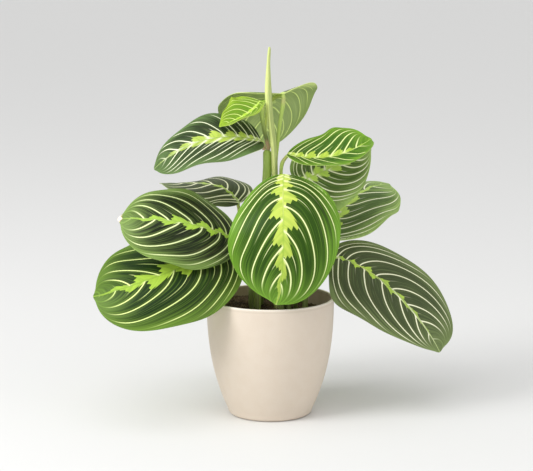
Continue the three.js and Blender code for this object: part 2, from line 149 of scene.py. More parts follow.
# How the side veins of one half run: the reach at which a vein would come to the leaf's tip, and
# how straight the first ones are.
VEIN_RUNS = {"curved": (1.2, 0.13), "straight": (1.6, 0.4), "slanted": (2.5, 0.6), "hooked": (1.9, 0.12),
             "swept": (1.22, 0.3)}
CROWD_LENGTH = 0.08
SLANT = 0.05
WANDER = 0.07

# Each shoot: points up its middle, the radius at each, how far the wrap steps at its seam, how many
# turns it makes on its way up, and the record's material slot.
SHOOTS = {
    "shoot_main": dict(
        line=((-13, 2, HOLE_BOTTOM), (-13, 2, 104), (-8, 1, 160), (-3, 3, 214), (-2.9, 3, SHOOT_TOP)),
        radii=(5.4, 5.4, 4.8, 4.4, 4.3), seam=0.16, twist=0.4, slot="sheath",
    ),
    "shoot_rolled_leaf": dict(
        line=((6, 2, HOLE_BOTTOM), (6, 2, 104), (6, 1, 150), (4.5, -1, 205), (3.3, -2, 240),
              (-0.3, -2, 270), (-2, -2, 292), (-1.8, -2, 317), (-0.8, -2, 332)),
        radii=(3.2, 3.2, 3.1, 2.9, 2.95, 3.4, 3.6, 1.75, 1.4), seam=0.24, twist=0.9, slot="rolled_leaf",
    ),
}
ROUNDED_END = (0.93, 0.6)

# Each tone: the green by the midrib, the green at the margin, the lime stripe, the vein, the
# underside, and the record's material slot.
TONES = {
    "bright": ("#2b4a0a", "#76a534", "#ccdb60", "#f7ffba", "#93a86a", "leaf_bright"),
    "fresh": ("#356010", "#739e28", "#c6dc56", "#f4ffb0", "#93ad5c", "leaf_bright"),
    "new": ("#618c18", "#a2c232", "#bce048", "#e0f48c", "#9ebc55", "leaf_bright"),
    "middle": ("#183009", "#6c8e33", "#bce04c", "#f0ffa4", "#9bb074", "leaf_middle"),
    "dark": ("#1a2410", "#86a453", "#b8e04c", "#f4ffbe", "#8c9c66", "leaf_dark"),
    "shade": ("#434e30", "#7c8e58", "#bcde50", "#ffffdc", "#8c9c66", "leaf_dark"),
    "olive": ("#4f6732", "#a6c46e", "#cdec66", "#ffffe0", "#93a36c", "leaf_dark"),
    "dusty": ("#29371c", "#67844a", "#c8de5c", "#fbffda", "#8c9c66", "leaf_dark"),
}

# Colours of small marks, as the light values that shaders work in.
VEIN_SHADOW, LEAF_BROWN, LEAF_SPECK = (0.04, 0.045, 0.01, 1), (0.1, 0.085, 0.04, 1), (0.6, 0.65, 0.5, 1)
HUSK, HUSK_EDGE = (0.86, 0.78, 0.66, 1), (0.42, 0.27, 0.12, 1)
DARK_FIBRE, PALE_FIBRE, STEM_BLOTCH = (0.06, 0.13, 0.02, 1), (0.72, 0.8, 0.4, 1), (0.22, 0.13, 0.05, 1)
SEAM_EDGE, DARK_TAN, PALE_TAN = (0.4, 0.25, 0.12, 1), (0.36, 0.2, 0.11, 1), (0.8, 0.6, 0.4, 1)
# A painted shadow line below the pot's lip, a painted highlight on the lip, and painted shade on the pot's inside
# wall.
LIP_SHADOW, LIP_HIGHLIGHT, INSIDE_SHADE = (0.3, 0.22, 0.15, 1), (0.95, 0.9, 0.82, 1), (0.26, 0.17, 0.1, 1)


def colour(code):
    """A colour written as #rrggbb, as the light values that shaders work in."""
    parts = (int(code[place:place + 2], 16) / 255 for place in (1, 3, 5))
    return tuple(p / 12.92 if p <= 0.04045 else ((p + 0.055) / 1.055) ** 2.4 for p in parts) + (1.0,)


# ---- settings

def length(name, description, default):
    return bpy.props.FloatProperty(
        name=name, description=description, default=default * MM, subtype="DISTANCE", unit="LENGTH"
    )


def count(name, description, default, least=0):
    return bpy.props.IntProperty(name=name, description=description, default=default, min=least)


def strength(name, description, default, unit="NONE"):
    return bpy.props.FloatProperty(name=name, description=description, default=default, min=0, unit=unit)


def tint(name, description, code):
    return bpy.props.FloatVectorProperty(
        name=name, description=description, default=colour(code), subtype="COLOR", size=4, min=0, max=1
    )


class PotSettings(bpy.types.PropertyGroup):
    height: length("Height", "Height of the pot", 107)
    rim_radius: length("Rim radius", "Outer radius at the rim", 57.5)
    foot_lean: length("Foot lean", "How far the wall has drawn in at the foot", 21)
    wall: length("Wall", "Thickness of the wall", 2.4)
    floor: length("Floor", "Thickness of the bottom", 3.5)
    sides: count("Sides", "Faces round the pot", 144, 12)
    body: tint("Body", "Colour of the pot", "#dacdbd")
    speck: tint("Specks", "Colour of the fine specks", "#cdbaa2")


class SoilSettings(bpy.types.PropertyGroup):
    level: length("Level", "Height of the soil's top", SOIL_TOP)
    lump: length("Lumps", "Height of the soil's unevenness", 1.1)
    crumb: length("Crumb", "Size of a crumb", 1.5)
    crumbs: count("Crumbs", "Crumbs to a square metre", 300000)
    seed: count("Seed", "Start of the crumbs' random draw", 7)
    dark: tint("Dark", "Colour of damp soil", "#3d3027")
    light: tint("Light", "Colour of dry bits", "#a58a72")


class BladeSettings(bpy.types.PropertyGroup):
    thickness: length("Thickness", "Thickness of a blade", 0.5)
    rows: count("Rows", "Faces from base to tip", 104, 12)
    columns: count("Columns", "Faces from margin to margin", 64, 8)
    quilt: length("Quilting", "How far the blade swells between its veins", 0.35)
    vein: length("Vein", "Width of a side vein", 1.5)
    tip: length("Tip", "Length of the small point at the end of a blade", 2)


class StalkSettings(bpy.types.PropertyGroup):
    sides: count("Sides", "Faces round a stalk", 14, 5)
    step: length("Step", "Length of a face along a stalk", 1.6)
    low: tint("Low", "Colour where a stalk leaves the soil", "#5f6b35")
    high: tint("High", "Colour up by the blade", "#b9d268")
    midrib: tint("Midrib", "Colour of the raised midrib along a blade", "#c6d468")


class ShootSettings(bpy.types.PropertyGroup):
    sides: count("Sides", "Faces round a shoot", 28, 8)
    step: length("Step", "Length of a face along a shoot", 1.8)
    sheath: tint("Sheath", "Colour of the main shoot's sheaths", "#cae872")
    rolled: tint("Rolled leaf", "Colour of the leaf still rolled up", "#f2fca0")


class StageSettings(bpy.types.PropertyGroup):
    floor: tint("Floor", "Colour of the floor", "#e3e3e2")
    key: strength("Key light", "Strength of the main light", 27, "POWER")
    fill: strength("Fill light", "Strength of the fill light", 4, "POWER")
    above: strength("Light from above", "Strength of the light from above", 0.9)
    sky: strength("Sky", "Strength of the even light from all round", 0.62)


class PlantSettings(bpy.types.PropertyGroup):
    pot: bpy.props.PointerProperty(type=PotSettings)
    soil: bpy.props.PointerProperty(type=SoilSettings)
    blade: bpy.props.PointerProperty(type=BladeSettings)
    stalk: bpy.props.PointerProperty(type=StalkSettings)
    shoot: bpy.props.PointerProperty(type=ShootSettings)
    stage: bpy.props.PointerProperty(type=StageSettings)


# ---- node trees, written as plain sums

class Flow:
    """What runs through a node's socket; sums on it add nodes to the same tree."""

    def __init__(self, board, socket):
        self.board = board
        self.socket = socket


SUMS = {"add": "ADD", "sub": "SUBTRACT", "mul": "MULTIPLY", "truediv": "DIVIDE", "pow": "POWER"}
for sign, operation in SUMS.items():
    setattr(Flow, f"__{sign}__", lambda one, two, kind=operation: one.board.maths(kind, one, two))
    setattr(Flow, f"__r{sign}__", lambda one, two, kind=operation: one.board.maths(kind, two, one))


class Board:
    """A node tree and the few ways in which this file adds nodes to it."""

    def __init__(self, tree):
        self.tree = tree

    def plug(self, socket, value):
        value = getattr(value, "socket", value)
        if isinstance(value, bpy.types.NodeSocket):
            self.tree.links.new(value, socket)
        else:
            socket.default_value = value

    def add(self, kind, *first, **more):
        """A node. Its first sockets take their values in order. Of the others, a name with a capital
        is a socket, and any other name is a setting of the node."""
        node = self.tree.nodes.new(kind)
        for name, value in more.items():
            if name[0].islower():
                setattr(node, name, value)
        sockets = {name.replace("_", " "): value for name, value in more.items() if name[0].isupper()}
        for name, value in [*enumerate(first), *sockets.items()]:
            self.plug(node.inputs[name], value)
        return node

    def out(self, kind, *first, output=0, **more):
        return Flow(self, self.add(kind, *first, **more).outputs[output])

    def form(self, kind, *first, **more):
        return self.out("GeometryNode" + kind, *first, **more)

    def maths(self, operation, *values):
        return self.out("ShaderNodeMath", *values, operation=operation)

    def vector(self, *parts):
        return self.out("ShaderNodeCombineXYZ", *parts)

    def parts(self, vector):
        return [Flow(self, output) for output in self.add("ShaderNodeSeparateXYZ", vector).outputs]

    def ramp(self, value, start, end, low=0, high=1, kind="SMOOTHSTEP"):
        """Runs from low to high while the value runs from start to end, and stays level outside."""
        return self.out("ShaderNodeMapRange", value, start, end, low, high, interpolation_type=kind)

    def noise(self, place, scale=1, detail=2, output=0):
        return self.out("ShaderNodeTexNoise", Vector=place, Scale=scale, Detail=detail, output=output)

    def coat(self, shade, *layers):
        """The shade with colours laid over it in turn, each by its own share."""
        for share, over in layers:
            node = self.add("ShaderNodeMix", share, data_type="RGBA")
            self.plug(node.inputs[6], shade)
            self.plug(node.inputs[7], over)
            shade = Flow(self, node.outputs[2])
        return shade


def new_group(name, outputs, **inputs):
    """An empty node group, and the flows that come in through its sockets, in their order. The
    sockets' names are listed by the kind of socket."""
    tree = bpy.data.node_groups.new(name, "GeometryNodeTree" if "Geometry" in outputs else "ShaderNodeTree")
    for way, sockets in (("INPUT", inputs), ("OUTPUT", outputs)):
        for sort, labels in sockets.items():
            for label in labels.split(", "):
                tree.interface.new_socket(label, in_out=way, socket_type="NodeSocket" + sort)
    board = Board(tree)
    return board, [Flow(board, output) for output in list(board.add("NodeGroupInput").outputs)[:-1]]


def end_group(board, **results):
    board.add("NodeGroupOutput", **results)
    return board.tree


def shared(name, make):
    """The node group of that name, made when it is first asked for."""
    return bpy.data.node_groups.get(name) or make()


def leaf_pattern():
    """The markings of a prayer plant's leaf: pale side veins, dark patches between them and a
    jagged lime stripe along the midrib."""
    board, given = new_group(
        "Prayer plant markings", dict(Color="Upper, Lower", Float="Relief, Gloss"), Vector="Veins",
        Float="Along, Across, Reach, Seed, Left shift, Right shift, Vein width, Dry, Apex, Spike",
        Color="Deep, Edge, Lime, Pale, Under",
    )
    ramp, maths, vector = board.ramp, board.maths, board.vector
    veins, along, across, reach, seed, left_shift, right_shift, vein_width, dry, apex, spike = given[:11]
    deep, edge, lime_green, pale, under = given[11:]
    phase, pitch, stripe = board.parts(veins)
    right = maths("LESS_THAN", across, 0)
    out = maths("ABSOLUTE", across)
    place = phase + (left_shift * (1 - right) + right_shift * right) + right * 40 + 0.5
    number = maths("FLOOR", place)
    step = place - number
    draw = board.out("ShaderNodeTexWhiteNoise", vector(number, seed), output="Color")
    first, second, third = board.parts(draw)

    # Fine streaks that run with the veins.
    streak = board.noise(vector(place * 5, out * 1.3, seed), detail=3)
    hair = board.noise(vector(place * 15, out * 2, seed + 9), detail=3)
    cloud = board.noise(vector(along * 4, across * 3, seed + 4))

    # Side veins, thinner towards the margin.
    near = maths("MINIMUM", step, 1 - step) * pitch
    width = vein_width * ramp(out, 0.1, 1, 0.5, 0.28, "LINEAR") * ramp(pitch, 1.5, 6, 0.55)
    vein = 1 - ramp(near, width - 0.18, width + 0.22)
    vein = vein * (1 - ramp(out, 0.84, 0.96)) * (1 - ramp(along, 0.83, 0.96))

    # Lobes of the lime stripe: each widens soon after its vein and is cut back towards the next.
    cut = 0.34 + first * 0.18
    rise = ramp(step, 0, cut, 0.3, 1, "LINEAR")
    fall = ramp(step, cut, 0.97, 1, 0.2, "LINEAR")
    teeth = maths("FRACT", step * 4.3 + second)
    lobe = maths("MINIMUM", rise, fall) ** spike + (teeth - 0.5) * 0.24
    lobe = 1 - (1 - lobe) * ramp(pitch, 3.5, 11, 0.15)
    lobe = stripe * lobe * (0.84 + third * 0.3)
    lime = 1 - ramp(reach, lobe - 0.3, lobe + 0.25)
    line = 1 - ramp(maths("ABSOLUTE", step - cut) * pitch, 0.1, 0.45)
    line = line * (1 - ramp(reach, stripe * 1.15, stripe * (1.5 + first * 1.3)))
    line = line * ramp(stripe, 5, 9, 0.2, 0.8)

    # The blade between the veins: deep by the midrib, lighter and streaked towards the margin.
    light = ramp(out + (streak - 0.5) * 0.7, 0.6, 1.1)
    tip = ramp(along + (streak - 0.5) * 0.45, 0.72, 0.98)
    halo = 1 - ramp(near, 0.6, 2.8)
    light = maths("MAXIMUM", light, tip * 0.65)
    light = maths("MINIMUM", light + halo * 0.3 + (cloud - 0.5) * 0.25, 1)
    beside = ramp(near, width + 0.1, width + 0.5) * ramp(near, width + 1.6, width + 0.6)
    brown = ramp(streak, 0.5, 0.3, 0, 0.3) * ramp(along, 0.7, 0.3)
    green = board.coat(
        deep, (light, edge), (ramp(hair, 0.48, 0.75, 0, 0.5), edge), (ramp(hair, 0.46, 0.25, 0, 0.5), deep),
        (beside * 0.35, VEIN_SHADOW), (brown, LEAF_BROWN),
    )
    fresh = board.coat(
        lime_green, (ramp(streak, 0.35, 0.7, 0, 0.45), edge), (ramp(along, 0.1, 0.9, 0, 0.35), edge),
        (halo * 0.45, pale),
    )
    groove = ramp(reach, 0.1, 0.3) * ramp(reach, 0.75, 0.45)

    # Withered tissue at the tip, brown where it meets the green, and rare pale specks.
    left_over = apex + (streak - 0.5) * 7 + (cloud - 0.5) * 4
    wither = (1 - ramp(left_over, 4.2, 5)) * dry
    husk = board.coat(HUSK, (ramp(left_over, 3.4, 4.8), HUSK_EDGE))
    speck = board.out("ShaderNodeTexVoronoi", vector(along * 60, across * 45, seed))
    rare = board.noise(vector(along * 5, across * 5, seed + 20), detail=0)
    speck = (1 - ramp(speck, 0.03, 0.07)) * ramp(rare, 0.6, 0.66, 0, 0.6)

    # The underside is grey green, with the same veins faintly through it.
    upper = board.coat(
        green, (lime, fresh), (line * (1 - lime), pale), (vein * 0.95, pale), (groove * 0.6, edge),
        (wither, husk), (speck, LEAF_SPECK),
    )
    lower = board.coat(
        under, (light * 0.5, edge), (ramp(hair, 0.2, 0.8, 0, 0.3), pale), (lime * 0.5, pale),
        (vein * 0.9, pale), (ramp(along + (cloud - 0.5) * 0.1, 0.26, 0.1, 0, 0.75), pale), (wither, husk),
    )
    relief = hair * 0.35 + streak * 0.5 - vein * 0.5
    gloss = 0.4 + streak * 0.12 + vein * 0.08
    return end_group(board, Upper=upper, Lower=lower, Relief=relief, Gloss=gloss)


def stem_pattern():
    """Long fibres and blotches on a stalk or a shoot, darker below, with a papery seam."""
    board, given = new_group(
        "Stem fibres", dict(Color="Colour", Float="Relief"), Vector="Place",
        Float="Along, Round, Seam, Tan, Rib", Color="Low, High, Midrib",
    )
    ramp, maths = board.ramp, board.maths
    place, along, around, seam, tan, rib, low, high, midrib = given
    turn = around * TURN
    ring = board.vector(maths("COSINE", turn) * 2.2, maths("SINE", turn) * 2.2, along * 2)
    fibre = board.noise(ring, 3.2, 3)
    blotch = board.noise(place, 90)
    body = board.coat(low, (ramp(along, 0.05, 0.5), high))
    dark, pale = board.coat(body, (0.55, DARK_FIBRE)), board.coat(body, (0.45, PALE_FIBRE))
    rolled = ramp(seam, 0, 0.15)
    flank = ramp(maths("COSINE", turn + along * 0.9 * TURN), -0.15, 0.15)
    shade = board.coat(
        body, (flank * ramp(seam, 0.1, 0.24), dark), (ramp(fibre, 0.3, 0.5, 0.18, 0), dark),
        (ramp(fibre, 0.5, 0.75, 0, 0.8), pale), (ramp(blotch, 0.62, 0.75, 0, 0.12), STEM_BLOTCH),
        (ramp(along, 0.66, 0.95, 0, 0.45) * rolled, dark),
        (ramp(around, 0.93, 0.975) * rolled * 0.7, SEAM_EDGE), (rib * 0.85, midrib),
        (tan, board.coat(DARK_TAN, (fibre, PALE_TAN))),
    )
    return end_group(board, Colour=shade, Relief=fibre)


def speckle():
    """Fine specks and faint clouding, as in a moulded matte surface or in loose soil."""
    board, given = new_group(
        "Specks and clouding", dict(Color="Colour", Float="Relief"), Vector="Place",
        Float="Size, Amount", Color="Body, Speck",
    )
    place, size, amount, body, speck = given
    grain, cloud = (board.noise(place, scale / size, 3) for scale in (1, 0.06))
    shade = board.coat(
        body, (board.ramp(grain, 0.56, 0.72) * amount, speck),
        (board.ramp(cloud, 0.35, 0.7, 0, 0.4) * amount, speck),
    )
    return end_group(board, Colour=shade, Relief=grain)


# ---- materials

def new_material(name, roughness, specular):
    """A material with only its shader and output, and the board to wire it on."""
    material = bpy.data.materials.new(name)
    material.use_nodes = True
    material.node_tree.nodes.clear()
    board = Board(material.node_tree)
    shader = board.add("ShaderNodeBsdfPrincipled", Roughness=roughness, Specular_IOR_Level=specular)
    board.add("ShaderNodeOutputMaterial", shader.outputs[0])
    return material, board, shader


def object_place(board):
    return board.out("ShaderNodeTexCoord", output="Object")


def patterned(name, finish, group, depth, force, values, side="Colour"):
    """A new material with a pattern for its colour and its bump. A word among the values is the name
    of an attribute that is stored on the mesh."""
    material, board, shader = new_material(name, *finish)
    pattern = board.add("ShaderNodeGroup", node_tree=group)
    for label, value in values.items():
        if isinstance(value, str):
            output = "Vector" if value == "veins" else "Fac"
            value = board.out("ShaderNodeAttribute", attribute_name=value, output=output)
        board.plug(pattern.inputs[label], value)
    if "Place" in pattern.inputs:
        board.plug(pattern.inputs["Place"], object_place(board))
    relief = pattern.outputs["Relief"]
    bump = board.out("ShaderNodeBump", Height=relief, Distance=depth * MM, Strength=force)
    board.plug(shader.inputs["Base Color"], pattern.outputs[side])
    board.plug(shader.inputs["Normal"], bump)
    return material, board, shader, pattern


def leaf_materials(name, spec, seed, vein_width):
    """The upper and the lower face of one blade."""
    values = dict(zip(("Deep", "Edge", "Lime", "Pale", "Under"), map(colour, TONES[spec["tone"]][:5])))
    values |= {
        "Reach": "reach", "Veins": "veins", "Apex": "apex", "Seed": seed, "Left shift": spec["shift"][0],
        "Right shift": spec["shift"][1], "Vein width": spec["line"] * vein_width / MM, "Dry": spec["dry"],
        "Spike": spec["spike"],
    }
    group = shared("Prayer plant markings", leaf_pattern)
    made = []
    for side, dull in (("Upper", 0), ("Lower", 0.15)):
        material, board, shader, pattern = patterned(
            f"{name} {side.lower()}", (0.5, 0.16), group, 0.25, 0.8, values, side
        )
        along, across, _ = board.parts(board.out("ShaderNodeUVMap", uv_map="UVMap"))
        board.plug(pattern.inputs["Along"], along)
        board.plug(pattern.inputs["Across"], across * 2 - 1)
        board.plug(shader.inputs["Roughness"], Flow(board, pattern.outputs["Gloss"]) + dull)
        made.append(material)
    return made


def stem_material(name, low, high, seam, midrib=(0, 0, 0, 1)):
    values = {"Along": "along", "Round": "round", "Tan": "tan", "Rib": "rib", "Low": low, "High": high,
              "Seam": seam, "Midrib": midrib}
    return patterned(name, (0.45, 0.4), shared("Stem fibres", stem_pattern), 0.3, 0.7, values)[0]


def speckled_material(name, body, speck, size, amount, roughness, depth):
    values = {"Body": body, "Speck": speck, "Size": size * MM, "Amount": amount}
    return patterned(name, (roughness, 0.35), shared("Specks and clouding", speckle), depth, 0.6, values)


# ---- geometry trees

def end_form(board, form, material):
    """Ends a geometry tree: all of it real faces, in their material."""
    form = board.form("RealizeInstances", form)
    return end_group(board, Form=board.form("SetMaterial", form, Material=material))


def turned_tree():
    """Turns a profile, given as a chain of points of radius and height, round the Z axis."""
    board, given = new_group(
        "Turned form", dict(Geometry="Form"), Geometry="Profile", Int="Points, Sides", Material="Material"
    )
    profile, points, sides, material = given
    grid = board.form("MeshGrid", 1, 1, sides + 1, points)
    position = board.form("InputPosition")
    across, down, _ = board.parts(position)
    row = board.maths("ROUND", (down + 0.5) * (points - 1))
    spot = board.form("SampleIndex", profile, Value=position, Index=row, data_type="FLOAT_VECTOR")
    radius, _, height = board.parts(spot)
    angle = (across + 0.5) * TURN
    place = board.vector(radius * board.maths("COSINE", angle), radius * board.maths("SINE", angle), height)
    form = board.form("SetPosition", grid, Position=place)
    form = board.form("MergeByDistance", form, Distance=0.02 * MM)
    return end_form(board, board.form("SetShadeSmooth", form), material)


def stem_tree():
    """Wraps a round section along a chain of points whose thickness is stored on them. The section
    steps in once on its way round by the share Seam, as a rolled leaf or a sheath does."""
    board, given = new_group(
        "Stem", dict(Geometry="Form"), Geometry="Line", Int="Sides", Float="Seam, Twist", Material="Material"
    )
    chain, sides, seam, twist, material = given
    share = board.form("SplineParameter")
    line = board.form("MeshToCurve", chain)
    line = board.form("SetCurveTilt", line, Tilt=share * twist * TURN)
    ring = board.form("CurvePrimitiveCircle", sides, Radius=1)
    line, ring = (
        board.form("StoreNamedAttribute", form, Name=name, Value=share, data_type="FLOAT", domain="POINT")
        for form, name in ((line, "along"), (ring, "round"))
    )
    across, up, _ = board.parts(board.form("InputPosition"))
    draw_in = 1 - seam * share
    ring = board.form("SetPosition", ring, Position=board.vector(across * draw_in, up * draw_in))
    thick = board.form("InputNamedAttribute", "thick", data_type="FLOAT")
    form = board.form("CurveToMesh", line, ring, Scale=thick, Fill_Caps=True)
    return end_form(board, board.form("SetShadeSmooth", form), material)


def crumb_tree():
    """Strews crumbs of uneven size and shape over the upward faces of the soil."""
    board, given = new_group(
        "Soil crumbs", dict(Geometry="Form"), Geometry="Soil", Float="Size, Amount, Edge", Int="Seed",
        Material="Material",
    )
    soil, size, amount, edge, seed, material = given
    maths = board.maths
    position = board.form("InputPosition")
    x, y, z = board.parts(position)
    up = board.parts(board.form("InputNormal"))[2]
    chosen = maths("LESS_THAN", maths("SQRT", x * x + y * y), edge)
    chosen = chosen * maths("GREATER_THAN", up, 0.4) * maths("GREATER_THAN", z, 0.8 * SOIL_TOP * MM)
    spots = board.form("DistributePointsOnFaces", soil, chosen, Density=amount, Seed=seed)
    lump = board.form("MeshIcoSphere", 1, 1)
    draws = ((1, (0, 0, 0), (TURN, TURN, TURN)), (2, (0.3, 0.3, 0.22), (1, 0.75, 0.6)))
    ways, stretch = (
        board.out("FunctionNodeRandomValue", low, high, Seed=seed + k, data_type="FLOAT_VECTOR")
        for k, low, high in draws
    )
    draw = board.out("FunctionNodeRandomValue", Seed=seed + 3, output=1, data_type="FLOAT")
    size = size * (0.3 + draw * draw * draw * 1.1)
    scale = board.out("ShaderNodeVectorMath", stretch, Scale=size, operation="SCALE")
    form = board.form("InstanceOnPoints", spots, Instance=lump, Rotation=ways, Scale=scale)
    form = board.form("RealizeInstances", form)
    rough = board.noise(position, 1400, 1, 1)
    push = board.out("ShaderNodeVectorMath", rough, (0.5, 0.5, 0.5), operation="SUBTRACT")
    push = board.out("ShaderNodeVectorMath", push, Scale=0.8 * MM, operation="SCALE")
    return end_form(board, board.form("SetPosition", form, Offset=push), material)


def add_object(name, data):
    made = bpy.data.objects.new(name, data)
    bpy.context.scene.collection.objects.link(made)
    return made


def grow(name, mesh, tree, values):
    """Runs a geometry tree on a mesh and keeps the result as a plain mesh in an object of its own."""
    seedling = add_object(name + "_source", mesh)
    modifier = seedling.modifiers.new("Tree", "NODES")
    modifier.node_group = tree
    for item in tree.interface.items_tree:
        if item.name in values:
            modifier[item.identifier] = values[item.name]
    view = bpy.context.evaluated_depsgraph_get()
    made = bpy.data.meshes.new_from_object(
        seedling.evaluated_get(view), preserve_all_data_layers=True, depsgraph=view
    )
    bpy.data.objects.remove(seedling)
    if not made.polygons:
        raise RuntimeError(f"{name} came out with no faces")
    made.name = name
    return add_object(name, made)


def store(mesh, name, values, sort="FLOAT", domain="POINT", field="value", kind=np.float32):
    """Keeps an array of values on a mesh."""
    mesh.attributes.new(name, sort, domain).data.foreach_set(field, np.asarray(values, kind).ravel())


def chain_mesh(name, points, **attributes):
    """A chain of points joined by edges, with numbers stored on the points."""
    mesh = bpy.data.meshes.new(name)
    mesh.from_pydata([tuple(p) for p in points], [(i, i + 1) for i in range(len(points) - 1)], [])
    for label, values in attributes.items():
        store(mesh, label, values)
    return mesh


def grow_stem(name, line, stored, sides, material, seam=0.0, twist=0.0):
    values = {"Sides": sides, "Seam": seam, "Twist": twist, "Material": material}
    return grow(name, chain_mesh(name, line, **stored), shared("Stem", stem_tree), values)


def seat(piece, slot, *nodes):
    """Places a finished piece in the frame, in the stead of the plain solids it stands for."""
    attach(piece, "root")
    if nodes:
        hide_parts(*nodes)


# ---- the leaf's form

def smooth(values, start, end):
    share = np.clip((values - start) / (end - start), 0, 1)
    return share * share * (3 - 2 * share)


def unit(vectors):
    return vectors / np.linalg.norm(vectors, axis=-1, keepdims=True)


class Leaf:
    """One leaf's form: its midrib and the blade spread to either side, in millimetres."""

    STEPS = 801
    KNOTS = np.array([0, 1 / 3, 2 / 3, 1])
    TIP_WIDTH = 4
    TIP_START = 0.93

    def __init__(self, spec):
        self.spec = USUAL | spec
        self.rib = np.array(spec["rib"], float)
        self.face = np.broadcast_to(np.array(spec["face"], float), (2, 3))
        self.reach = spec["width"] / 2
        self.time = np.linspace(0, 1, self.STEPS)
        runs = np.linalg.norm(np.diff(self.along_rib(self.time), axis=0), axis=1)
        self.share = np.append(0, np.cumsum(runs)) / runs.sum()

    def half(self, name, v):
        """What the leaf has under that name in its right half, where v is below 0, and in its left."""
        left, right = np.broadcast_to(self.spec[name], 2)
        return np.where(v < 0, right, left)

    def along_rib(self, time):
        """The point at that time on the cubic through the rib's four points."""
        total = 0
        for i, knot in enumerate(self.KNOTS):
            weight = 1
            for other in np.delete(self.KNOTS, i):
                weight = weight * (time - other) / (knot - other)
            total = total + weight[..., None] * self.rib[i]
        return total

    def frame(self, s):
        """The middle of the rib at s, the way to the left, the way up, and the way along."""
        time = np.interp(s, self.share, self.time)
        along = unit(self.along_rib(time + 1e-4) - self.along_rib(time - 1e-4))
        face = self.face[0] + (self.face[1] - self.face[0]) * s[..., None]
        left = unit(np.cross(face, along))
        return self.along_rib(time), left, np.cross(along, left), along

    def spread(self, s, v, tip):
        """Points in the middle of the blade, s from base to tip and v from right to left margin."""
        wide = self.half("wide", v)
        a, b = OUTLINE_POWER * wide, OUTLINE_POWER * (1 - wide)
        width = self.reach * (s**a * (1 - s) ** b) / (wide**a * (1 - wide) ** b)
        fold, curl = np.radians(self.half("fold", v)), self.half("curl", v)
        bend = np.radians(np.where(curl == 0, LEAST_CURL, curl)) / self.reach
        out = np.abs(v) * width
        slope = fold + bend * out
        aside = (np.sin(slope) - np.sin(fold)) / bend
        wave = MARGIN_WAVE * (width / self.reach) * np.abs(v) ** WAVE_POWER
        turn = TURN * (WAVES * s + (v < 0) * RIGHT_PHASE)
        rise = (np.cos(fold) - np.cos(slope)) / bend + wave * np.sin(turn)
        middle, left, up, along = self.frame(s)
        point = tip * np.exp(-((out / self.TIP_WIDTH) ** 2)) * smooth(s, self.TIP_START, 1)
        place = middle + left * np.where(v < 0, -aside, aside)[..., None] + up * rise[..., None]
        return place + along * point[..., None], out

    def beneath(self, s, depth):
        """Points that lie the given depth under the midrib."""
        middle, _, up, _ = self.frame(np.asarray(s, float))
        return middle - up * np.asarray(depth)[..., None]


def vein_start(u, v, sweep, furthest, straight):
    """The place on the midrib that the side vein through (u, v) sets out from. A vein that starts
    near the base runs straight out and then along the margin; one that starts further on slants
    towards the tip at once. It is found by halving, because only the way back is a plain sum."""
    low, high = np.zeros_like(u), np.ones_like(u)
    for _ in range(30):
        start = (low + high) / 2
        reach = furthest - sweep * start
        power = 1 / np.minimum(straight + 1.05 * start, 0.78)
        at = start + (1 - start) * np.minimum(v / np.maximum(reach, 0.05), 2) ** power + SLANT * v
        low, high = np.where(at < u, start, low), np.where(at < u, high, start)
    return (low + high) / 2


def slopes(values):
    return np.gradient(values, axis=0), np.gradient(values, axis=1)


